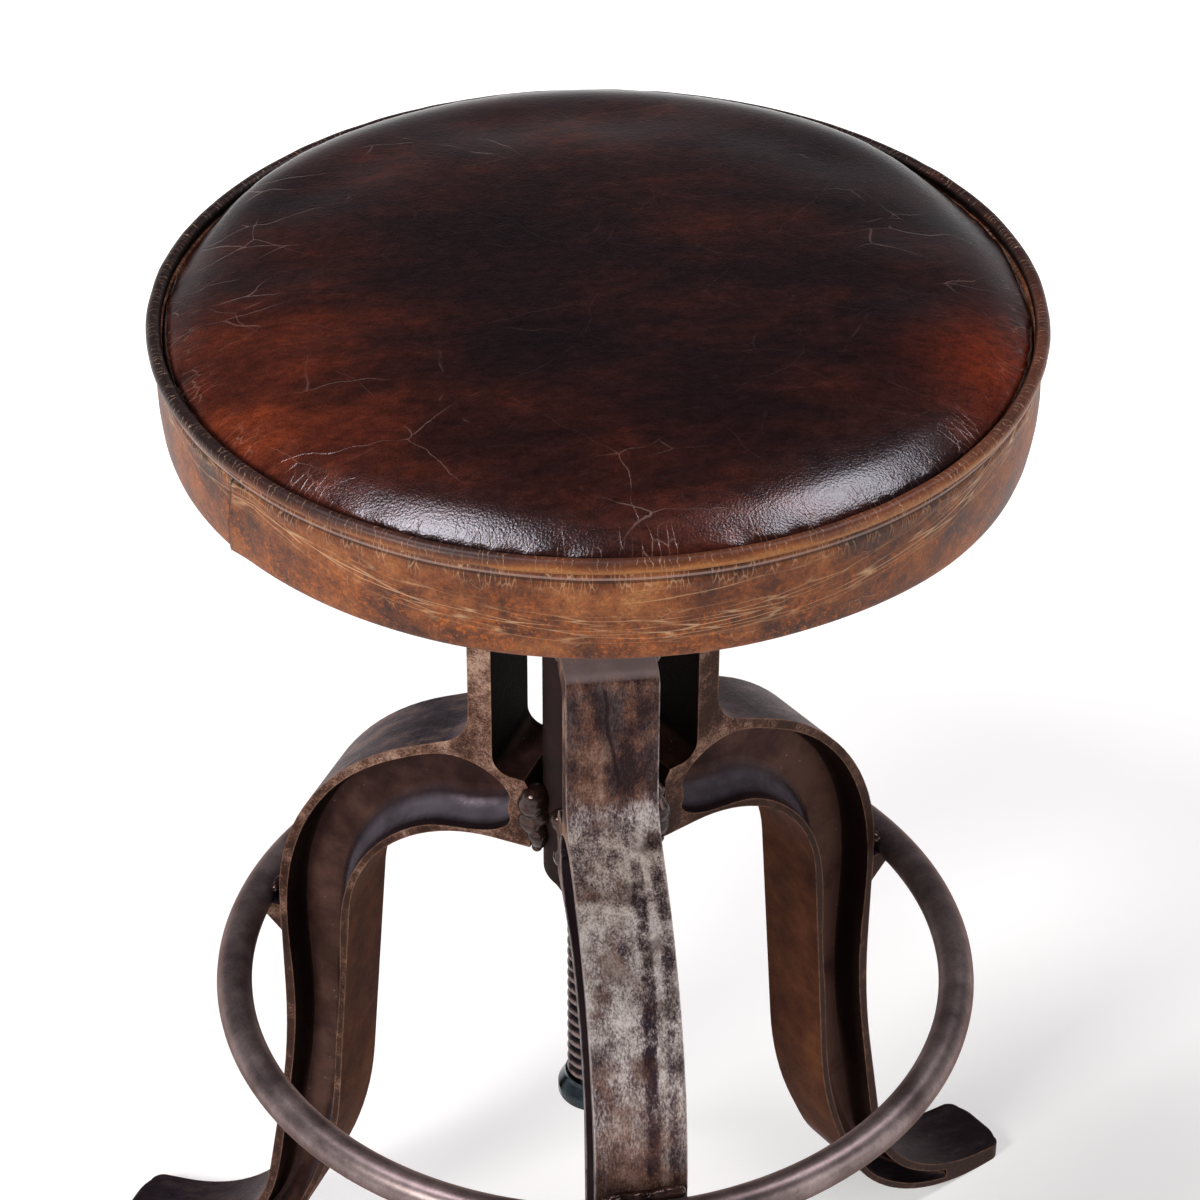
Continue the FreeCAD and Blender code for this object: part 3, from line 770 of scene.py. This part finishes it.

# %% [markdown]
# ## The screw
# The thread is a real one: one pitch of it is drawn as a short zigzag, then spun up the screw, with
# each full turn one pitch higher. The crests are rounded, as on an old square thread, and rubbed
# to dark bronze-coloured steel, lightened as a painted highlight, while the grooves are blue-black.

# %% Thread
PITCH = 6.35
SCREW_TOP = 557.0
SCREW_FOOT = 182.0
CREST = 12.7
ROOT = 10.1
TURN_STEPS = 40
one_pitch = [(ROOT, 0.0), (ROOT, 1.0), (CREST - 0.9, 1.95), (CREST - 0.2, 2.65), (CREST, 3.6),
             (CREST - 0.2, 4.55), (CREST - 0.9, 5.25), (ROOT, 6.2), (ROOT, PITCH)]
turns = math.ceil((SCREW_TOP - SCREW_FOOT) / PITCH) + 2
thread = bmesh.new()
corners = [thread.verts.new((r * MM, 0, (SCREW_FOOT - 2 * PITCH + z) * MM)) for r, z in one_pitch]
sides = [thread.edges.new(pair) for pair in zip(corners, corners[1:])]
bmesh.ops.spin(thread, geom=corners + sides, cent=(0, 0, 0), axis=UP,
               dvec=(0, 0, PITCH * MM / TURN_STEPS),
               angle=turns * 2 * math.pi, steps=turns * TURN_STEPS)
bmesh.ops.remove_doubles(thread, verts=thread.verts, dist=0.01 * MM)
print("the thread makes", turns, "turns")

# %% Trim the screw and close its ends
for height, side in ((SCREW_FOOT, -1), (SCREW_TOP, 1)):
    rim = cut(thread, (0, 0, height * MM), (0, 0, side), clear_outer=True)
    bmesh.ops.triangle_fill(thread, edges=rim, use_beauty=True)
bmesh.ops.recalc_face_normals(thread, faces=thread.faces)

screw_steel, tree, place = new_material("cut steel thread, greasy")
_, _, out = unroll(tree, place, CREST)
grime = cloudy(tree, place, 4, 5.0, 0.65)
# the crests are rubbed steel, lightened as a painted highlight; the grooves stay blue-black
rubbed = fade_mm(tree, out, 11.0, 12.6)
rubbed = times(tree, rubbed, fade(tree, grime, 0.3, 0.7, 0.3, 1.0))
steel = blend(tree, rubbed, "#1d212b", "#8d7670")
relief = bump(tree, cloudy(tree, place, 1.5, 4.0), 0.3)
surface(tree, steel, fade(tree, grime, 0.3, 0.7, 0.15, 0.32), relief, metallic=0.8)
make_piece("screw", thread, "seat", ("seat_screw",), screw_steel)

# %% [markdown]
# ## Cast iron: where on the leg
# Each leg is one sand casting, stained dark and then rubbed back where a grinder could reach. So
# the finish depends on where a point is: on the flat rim of a flange, on the outer face, on the
# inner face, or down in the pocket. Coordinates are turned to the leg's own direction, and the
# distance from the centre of the knee's round tells outside from inside along the whole leg.

# %% Zones of a leg
LEG_WIDTH = 39.0
KNEE_OUT = 27.0
KNEE_UP = 261.6
KNEE_ROUND = 122.0
ANKLE_UP = 172.0
TOE_LEAN = 34.0


def leg_zones(tree, place, azimuth):
    """Coordinates along the leg, and how much a point belongs to each zone of it."""
    turn = (0, 0, -azimuth)
    place = add(tree, "Mapping", {"Vector": place, "Rotation": turn})
    facing = add(tree, "TexCoord").outputs["Normal"]
    facing = add(tree, "Mapping", {"Vector": facing, "Rotation": turn}, vector_type="NORMAL")
    out, side, tall = split(tree, place)
    _, sideways, _ = split(tree, facing)
    lean = fade_mm(tree, tall, ANKLE_UP, 0.0, KNEE_OUT * MM, (KNEE_OUT + TOE_LEAN) * MM)
    up = calc(tree, "MAXIMUM", tall, KNEE_UP * MM)
    across = calc(tree, "SUBTRACT", out, lean)
    from_knee = add(tree, "CombineXYZ", {"X": across, "Y": calc(tree, "SUBTRACT", up, KNEE_UP * MM)})
    reach = vector_calc(tree, "LENGTH", from_knee)
    outwards = vector_calc(tree, "DOT_PRODUCT", facing, (0.7, 0.0, 0.7))
    aside = calc(tree, "ABSOLUTE", side)
    sideways = calc(tree, "ABSOLUTE", sideways)
    at_side = fade_mm(tree, aside, LEG_WIDTH / 2 - 0.9, LEG_WIDTH / 2 - 0.2)
    slanting = times(tree, fade(tree, sideways, 0.2, 0.45), fade(tree, sideways, 0.9, 0.7))
    far = fade_mm(tree, reach, KNEE_ROUND - 12, KNEE_ROUND - 7)
    near = fade_mm(tree, reach, KNEE_ROUND - 20, KNEE_ROUND - 26)
    shelf = times(tree, near, fade(tree, outwards, 0.1, 0.4))
    return {
        "place": place, "tall": tall, "side": side,
        "rim": times(tree, at_side, fade(tree, sideways, 0.5, 0.85)),
        "outer": times(tree, far, fade(tree, outwards, 0.12, 0.35)),
        "inner": times(tree, near, fade(tree, outwards, -0.1, -0.4)),
        "shade": times(tree, far, fade(tree, outwards, -0.05, -0.3)),
        "shelf": shelf,
        "crest": times(tree, slanting, shelf),
    }


print("the knee is round", KNEE_ROUND, "mm about a point", KNEE_OUT, "mm out")


# %% [markdown]
# ## Cast iron: rubbed faces
# Rubbing takes the stain off the high grains first, so bare metal starts as a fine speckle and
# thickens into patches. Adding fine noise to slow clouds before one ramp gives just that edge. The
# front leg was rubbed most. Its post and its foot are brown and its knee is silver, with torn dark
# and light runs of stain down the middle. The silver is lightened as a painted highlight where the
# knee turns over and in a glint at its upper right, and the top face of the post is pale with dust
# and painted light. A crack in the casting crosses the post.

# %% Speckle and the front leg's face
def speckled(tree, place, cloud, share, lift):
    """Slow clouds with a fine speckle, around 0.5, lifted by a value or a socket."""
    slow = cloudy(tree, place, cloud, 6.0, 0.65)
    fast = cloudy(tree, place, 0.9, 4.0, 0.8)
    mixed = nudge(tree, slow, 2 * share, times(tree, fast, 2 * (1 - share)))
    return calc(tree, "ADD", calc(tree, "SUBTRACT", mixed, 0.5), lift)


ARCH_TOP = 396.0
POST_TOP = 456.5
FOOT_TOP, FOOT_FULL = 330, 260
KNEE_WAVER, RUN_WAVER = 70, 7
GLINT_UP = 382.0
RUN_HIGH, RUN_LOW = 7.5, 4.8
# how far each run is aside, how wide it is and how much lighter or darker it is
RUNS = ((0.0, 5.0, -0.2), (9.5, 4.0, -0.1), (4.6, 3.0, 0.08))
BARE = ((0.32, "#312930"), (0.43, "#5a4e52"), (0.5, "#837675"), (0.58, "#ad9f99"), (0.72, "#dcd3d0"))
BROWN = ((0.32, "#271b1c"), (0.45, "#4a322b"), (0.58, "#6a4a3b"), (0.75, "#93766a"))


def lane(tree, across, centre, wide):
    """How much a point lies in an upright lane of this width in mm, from 0 to 1."""
    away = apart(tree, across, centre * MM)
    return fade_mm(tree, away, wide * 0.7, wide * 0.35)


def runs_of_stain(tree, zones, wandering):
    """Dark and light upright runs below the post, torn by noise."""
    tall = zones["tall"]
    off_middle = fade_mm(tree, tall, 370, 300, RUN_HIGH * MM, RUN_LOW * MM)
    across = calc(tree, "SUBTRACT", wandering, off_middle)
    runs = 0.0
    for centre, wide, lift in RUNS:
        runs = nudge(tree, lane(tree, across, centre, wide), lift, runs)
    torn = fade(tree, cloudy(tree, zones["place"], 7, 5.0, 0.7), 0.38, 0.52, 0.25, 1.0)
    below = fade_mm(tree, tall, ARCH_TOP, ARCH_TOP - 22)
    return times(tree, runs, times(tree, below, torn))


def crack_in_post(tree, zones, wandering):
    """The crack in the casting, and the dark smear beside it."""
    tall = zones["tall"]
    across = calc(tree, "SUBTRACT", wandering, fade_mm(tree, tall, 452, 400, -3 * MM, 4 * MM))
    on_post = times(tree, fade_mm(tree, tall, 396, 404), fade_mm(tree, tall, 455, 451))
    crack = times(tree, lane(tree, across, 0.0, 1.3), on_post)
    smear = times(tree, lane(tree, across, 1.5, 12), on_post)
    return crack, smear


def bare_knee(tree, zones, runs):
    """Colour of the knee: bare silver, lightened as a painted highlight where it turns over and in a glint
    at its upper right.
    """
    tall = zones["tall"]
    # painted highlight: the knee is lightened where it turns over, and the glint lightens a spot at its
    # upper right
    knee = fade_mm(tree, tall, 395, 370, -0.07, 0.1)
    knee = calc(tree, "ADD", knee, fade_mm(tree, tall, 345, 280, 0.0, -0.17))
    from_glint = apart(tree, tall, GLINT_UP * MM)
    right_half = lane(tree, zones["side"], 13.0, 16.0)
    glint = times(tree, fade_mm(tree, from_glint, 14, 4), right_half)
    lift = nudge(tree, glint, 0.13, calc(tree, "ADD", knee, runs))
    bare = speckled(tree, stretch(tree, zones["place"], (1.0, 1.0, 0.35)), 11, 0.48, lift)
    return ramp(tree, bare, BARE)


def brown_post(tree, zones, runs, smear):
    """Colour of the post and the foot, darker at the right and beside the crack."""
    right = fade_mm(tree, zones["side"], 0, 15, 0.0, 0.15)
    darker = nudge(tree, smear, 0.16, right)
    foot = fade_mm(tree, zones["tall"], 330, 280, 0.0, 0.08)
    lift = nudge(tree, runs, 0.7, calc(tree, "SUBTRACT", foot, darker))
    brown = speckled(tree, stretch(tree, zones["place"], (1.0, 1.0, 0.6)), 12, 0.6, lift)
    return ramp(tree, brown, BROWN)


def rubbed_front(tree, zones):
    """Colour of the front leg's outer face, and the crack in it."""
    place = zones["place"]
    tall = zones["tall"]
    wobble = calc(tree, "SUBTRACT", cloudy(tree, place, 34, 4.0, 0.55), 0.5)
    wandering = nudge(tree, wobble, RUN_WAVER * MM, zones["side"])
    runs = runs_of_stain(tree, zones, wandering)
    crack, smear = crack_in_post(tree, zones, wandering)
    ragged = nudge(tree, wobble, KNEE_WAVER * MM, tall)
    above = fade_mm(tree, ragged, ARCH_TOP - 8, ARCH_TOP + 6, 0.0, 0.9)
    below = fade_mm(tree, ragged, FOOT_TOP, FOOT_FULL, 0.0, 0.85)
    patches = fade(tree, cloudy(tree, place, 20, 5.0), 0.5, 0.6, 0.0, 0.65)
    share = calc(tree, "MAXIMUM", calc(tree, "MAXIMUM", above, below), patches)
    colour = blend(tree, share, bare_knee(tree, zones, runs), brown_post(tree, zones, runs, smear))
    # the post's top face is pale partly with dust and partly with painted light
    dust_and_painted_light = fade_mm(tree, tall, POST_TOP - 1, POST_TOP + 1, 0.0, 0.6)
    colour = blend(tree, dust_and_painted_light, colour, "#a8999c")
    return blend(tree, times(tree, crack, 0.8), colour, "#20161a"), crack


print("the run of stain is", RUN_HIGH, "to", RUN_LOW, "mm off the middle of the leg")

# %% [markdown]
# ## Cast iron: the whole material
# Colours go on from the widest zone to the narrowest: purple-brown stain everywhere, warm brown on
# the inner face, blue-grey on the outer one, near black where the outer flange shades the pocket.
# Last come copper-coloured edges: a bevel node tells where the surface turns sharply, which is
# where rubbing wears through and where edges catch light, so the pale edges are partly wear and
# partly a painted highlight. The lower wall of the pocket pooled lacquer, so it is glossy, and a
# painted highlight in pale grey runs along the fillet at its top.

# %% Cast iron
WEB = ((0.35, "#291a18"), (0.5, "#402a26"), (0.65, "#573d35"))
INNER = ((0.35, "#381a0d"), (0.5, "#4d2915"), (0.65, "#5f3820"))
OUTER = ((0.32, "#1d181f"), (0.45, "#302a34"), (0.54, "#453d49"), (0.66, "#6a5751"))
RIM = ((0.34, "#33211b"), (0.46, "#533a30"), (0.56, "#7c5e50"), (0.7, "#ac8d7b"))


def stained(tree, zones, web_painted_light):
    """Colour of the web, with painted shade at its top, of the inner face, the shaded wall and the shelf,
    with a painted highlight along the shelf's crest.
    """
    clouds = cloudy(tree, zones["place"], 26, 8.0, 0.65)
    # painted shade: the web is darker at its top, under the outer flange, and lighter lower down
    web_shade_at_top = fade_mm(tree, zones["tall"], 370, 290, web_painted_light - 0.06, web_painted_light + 0.08)
    colour = ramp(tree, calc(tree, "ADD", clouds, web_shade_at_top), WEB)
    dust = add(tree, "TexVoronoi", {"Vector": zones["place"], "Scale": per_mm(5)})
    dust = times(tree, fade(tree, dust, 0.1, 0.05), fade(tree, clouds, 0.46, 0.56))
    colour = blend(tree, times(tree, dust, 0.6), colour, "#a59eac")
    inner = ramp(tree, clouds, INNER)
    colour = blend(tree, zones["inner"], colour, inner)
    colour = blend(tree, times(tree, zones["shade"], 0.92), colour, "#0e0706")
    colour = blend(tree, times(tree, zones["shelf"], 0.8), colour, "#262026")
    # painted highlight: a pale grey band along the crest of the shelf's fillet, patchy with the clouds
    crest_highlight = fade(tree, clouds, 0.35, 0.6, 0.35, 0.75)
    return blend(tree, times(tree, zones["crest"], crest_highlight), colour, "#777079")


def worn_and_highlit_edge(tree, zones, rubbed):
    """How much an edge is worn through and lightened as a painted highlight, from how sharply the surface
    turns there.
    """
    rounded = add(tree, "Bevel", {"Radius": 1.1 * MM}, samples=4)
    flat = add(tree, "NewGeometry").outputs["Normal"]
    turn = vector_calc(tree, "DOT_PRODUCT", rounded, flat)
    patchy = fade(tree, cloudy(tree, zones["place"], 6, 5.0), 0.3, 0.55)
    worn = times(tree, fade(tree, turn, 0.99, 0.86), patchy)
    share = fade_mm(tree, zones["tall"], 410, 390, 0.4, 0.9) if rubbed else 0.65
    return times(tree, worn, share)


def cast_iron(name, azimuth, rubbed, rim_painted_light, web_painted_light):
    """Stained cast iron for the leg that points this way; its outer face may be rubbed bare."""
    material, tree, place = new_material(name)
    zones = leg_zones(tree, place, azimuth)
    place = zones["place"]
    tall = zones["tall"]
    colour = stained(tree, zones, web_painted_light)
    relief = bump(tree, cloudy(tree, place, 4, 7.0, 0.7), 0.7, 0.4)
    if rubbed:
        outside, crack = rubbed_front(tree, zones)
        relief = bump(tree, crack, -0.8, 0.8, relief)
    else:
        # the leg's painted shade darkens its outer face too
        streaks = speckled(tree, stretch(tree, place, (0.35, 1.0, 0.35)), 9, 0.7, rim_painted_light)
        outside = ramp(tree, streaks, OUTER)
    colour = blend(tree, zones["outer"], colour, outside)
    toe = times(tree, zones["outer"], fade_mm(tree, tall, 50, 20, 0.0, 0.75))
    colour = blend(tree, toe, colour, "#271e1f")
    # the rims are darker lower down, and carry the leg's painted shade
    rim_lower = fade_mm(tree, tall, 280, 390, rim_painted_light - 0.14, rim_painted_light + 0.05)
    rim = ramp(tree, speckled(tree, place, 20, 0.6, rim_lower), RIM)
    colour = blend(tree, zones["rim"], colour, rim)
    # the pale edges are partly worn metal and partly a painted highlight
    colour = blend(tree, worn_and_highlit_edge(tree, zones, rubbed), colour, "#e9dfe0" if rubbed else "#a87c63")
    gloss = fade(tree, cloudy(tree, place, 1.2, 4.0, 0.7), 0.3, 0.7, 0.34, 0.5)
    for zone, change in (("shelf", -0.22), ("inner", 0.32), ("shade", 0.4)):
        gloss = nudge(tree, zones[zone], change, gloss)
    metallic = fade(tree, zones["outer"], 0.0, 1.0, 0.25, 0.4)
    surface(tree, colour, gloss, relief, metallic, shine=0.15, tint="#b8988a")
    return material


print("four ramps of stain, from", WEB[0][1], "to", RIM[-1][1])


# %% Dress the legs
def dress(material, *names):
    """Gives CAD nodes a material."""
    for name in names:
        mesh = nodes[name].data
        mesh.materials.clear()
        mesh.materials.append(material)
    print(material.name, "on", ", ".join(names))


LEG_AZIMUTHS = {"front": -90, "right": 30, "left": 150}
# how much each leg's rims and outer faces, and its web, are painted lighter or darker: painted shade on
# the right leg's rims and the left leg's web, painted light on the right leg's web
PAINTED_LIGHT_LIFTS = {"front": (0.0, 0.0), "right": (-0.09, 0.06), "left": (0.0, -0.02)}
for side, azimuth in LEG_AZIMUTHS.items():
    iron = cast_iron(f"cast iron, {side} leg", math.radians(azimuth), side == "front", *PAINTED_LIGHT_LIFTS[side])
    dress(iron, f"leg_{side}", f"ring_block_{side}")

# %% [markdown]
# ## Foot ring
# The ring is round bar, bent and welded shut, then brushed and lacquered. It is the smoothest metal
# on the stool, so it shows a soft band of light all along its top. Underneath it is darker and
# red-brown.

# %% Foot ring
RING_RADIUS = 162.2
ROD_RADIUS = 7.9
RING_HEIGHT = 258.0
ring_steel, tree, place = new_material("lacquered steel bar, brown-grey")
clouds = cloudy(tree, place, 24, 8.0, 0.65)
BAR = ((0.35, "#5f5251"), (0.5, "#786a68"), (0.68, "#8f807d"))
colour = ramp(tree, clouds, BAR)
colour = vary(tree, colour, cloudy(tree, place, 1.4, 4.0, 0.75), 0.8, 1.2)
_, height, _ = unroll(tree, place, RING_RADIUS)
under = fade_mm(tree, height, RING_HEIGHT - 1, RING_HEIGHT - 7)
colour = blend(tree, times(tree, under, 0.7), colour, "#5a3a2e")
relief = bump(tree, cloudy(tree, place, 2.5, 4.0), 0.2, 0.3)
gloss = fade(tree, clouds, 0.3, 0.7, 0.32, 0.44)
surface(tree, colour, gloss, relief, metallic=0.75, tint="#b09890")
ring = lathe(rod_profile(RING_RADIUS, RING_HEIGHT, ROD_RADIUS, 24), 288)
make_piece("ring_bar", ring, "base", ("foot_ring",), ring_steel)

# %% [markdown]
# ## Hub, stop and hidden steel
# The tube, nuts, plate and boss are plain turned steel under a thin dark stain. The stop at the
# screw's foot is oil-blacked: glossy, with a blue-green cast where light catches it.


# %% Plain dark steel
def dark_steel(name, dark, light, rough, lumps=0.3, metallic=0.6, shine=0.5):
    """Stained or blacked steel between two tones, with relief of this many millimetres."""
    material, tree, place = new_material(name)
    clouds = cloudy(tree, place, 8, 6.0, 0.65)
    tone = fade(tree, clouds, 0.35, 0.65)
    gloss = fade(tree, tone, 0.0, 1.0, rough * 0.8, rough * 1.2)
    surface(tree, blend(tree, tone, dark, light), gloss, bump(tree, clouds, lumps), metallic, shine)
    return material


wood_screws = sorted(name for name in nodes if name.startswith("plate_screw"))
tube_steel = dark_steel("stained steel tube", "#150d0c", "#2f201e", 0.75, metallic=0.2, shine=0.1)
dress(tube_steel, "hub_tube", "upper_nut", "lower_nut")
dress(dark_steel("oil-blacked stop collar", "#0e1216", "#2b3b42", 0.16, 0.8), "stop_collar")
dress(dark_steel("hot-rolled steel plate", "#2b2725", "#47403c", 0.5), "seat_plate", "screw_boss")
dress(dark_steel("zinc-plated wood screws", "#8d8b84", "#b5b2a8", 0.35), *wood_screws)

# %% [markdown]
# ## Welds
# The castings are joined to the tube, and the ring to its blocks, with stick welds that nobody
# ground smooth: overlapping drops of metal, dark and shiny with lacquer. Each weld here is a row of
# small balls of uneven size that are melted into one skin, which is nearly how the real one came
# about. A tube with bumps on it would still look like a tube.


# %% Weld helpers
def run_of_drops(shape, start, end, radius, step, chance):
    """A row of uneven balls between two points in mm."""
    start, end = Vector(start), Vector(end)
    count = max(2, round((end - start).length / step) + 1)
    for i in range(count):
        centre = start.lerp(end, i / (count - 1))
        centre += Vector([chance.uniform(-1, 1) for _ in range(3)]) * radius * 0.3
        size = radius * chance.uniform(0.55, 1.12)
        bmesh.ops.create_icosphere(shape, subdivisions=2, radius=size * MM,
                                   matrix=Matrix.Translation(centre * MM))


weld_metal = dark_steel("weld metal, lacquered", "#1d1311", "#4a342e", 0.2, 0.6)
HUB_SPANS = ((338.0, 362.0), (449.5, 455.0))
HUB_FOOT = 330.0
BEAD_OUT, BEAD_ASIDE, BEAD_RADIUS, BEAD_STEP = 21.5, 16.8, 6.3, 4.0
FOOT_OUT, FOOT_RADIUS, FOOT_STEP = 22.0, 3.0, 3.5
BLOCK_OUT, BLOCK_ASIDE, BLOCK_UP = 153.0, 16.5, 264.0
BLOCK_RADIUS, BLOCK_STEP = 2.8, 1.6
WELD_VOXEL = 0.9
WELD_SMOOTHINGS = 4
print("two welds at each end of a casting's hub side")

# %% Weld every leg to the tube and the ring
for number, (side, azimuth) in enumerate(LEG_AZIMUTHS.items()):
    chance = random.Random(11 + number)
    drops = bmesh.new()
    for aside in (-BEAD_ASIDE, BEAD_ASIDE):
        for low, high in HUB_SPANS:
            run_of_drops(drops, (BEAD_OUT, aside, low), (BEAD_OUT, aside, high),
                         BEAD_RADIUS, BEAD_STEP, chance)
        run_of_drops(drops, (FOOT_OUT, aside * 0.9, HUB_FOOT + 1), (FOOT_OUT, aside * 0.2, HUB_FOOT - 0.5),
                     FOOT_RADIUS, FOOT_STEP, chance)
    run_of_drops(drops, (BLOCK_OUT, -BLOCK_ASIDE, BLOCK_UP), (BLOCK_OUT, BLOCK_ASIDE, BLOCK_UP),
                 BLOCK_RADIUS, BLOCK_STEP, chance)
    beads = melt(drops, WELD_VOXEL)
    relax(beads, beads.verts, WELD_SMOOTHINGS)
    bmesh.ops.rotate(beads, verts=beads.verts, cent=(0, 0, 0),
                     matrix=Matrix.Rotation(math.radians(azimuth), 3, "Z"))
    make_piece(f"welds_{side}", beads, "base", (f"hub_weld_{side}",), weld_metal)

# %% [markdown]
# ## Plywood board
# The leather is tacked to a plywood disc, which shows only from below, so layers would not show:
# what shows is the face veneer, with its long grain.

# %% Plywood
plywood, tree, place = new_material("birch plywood")
grain = cloudy(tree, stretch(tree, place, (0.06, 1.0, 1.0)), 3, 5.0)
veneer = ramp(tree, grain, ((0.35, "#a07c50"), (0.65, "#c9a878")))
surface(tree, veneer, 0.65, bump(tree, grain, 0.2, 0.3))
dress(plywood, "seat_board")

# %% Measure the dressed stool
low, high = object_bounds()
print("dressed", [round((b - a) / MM, 1) for a, b in zip(low, high)], "mm")
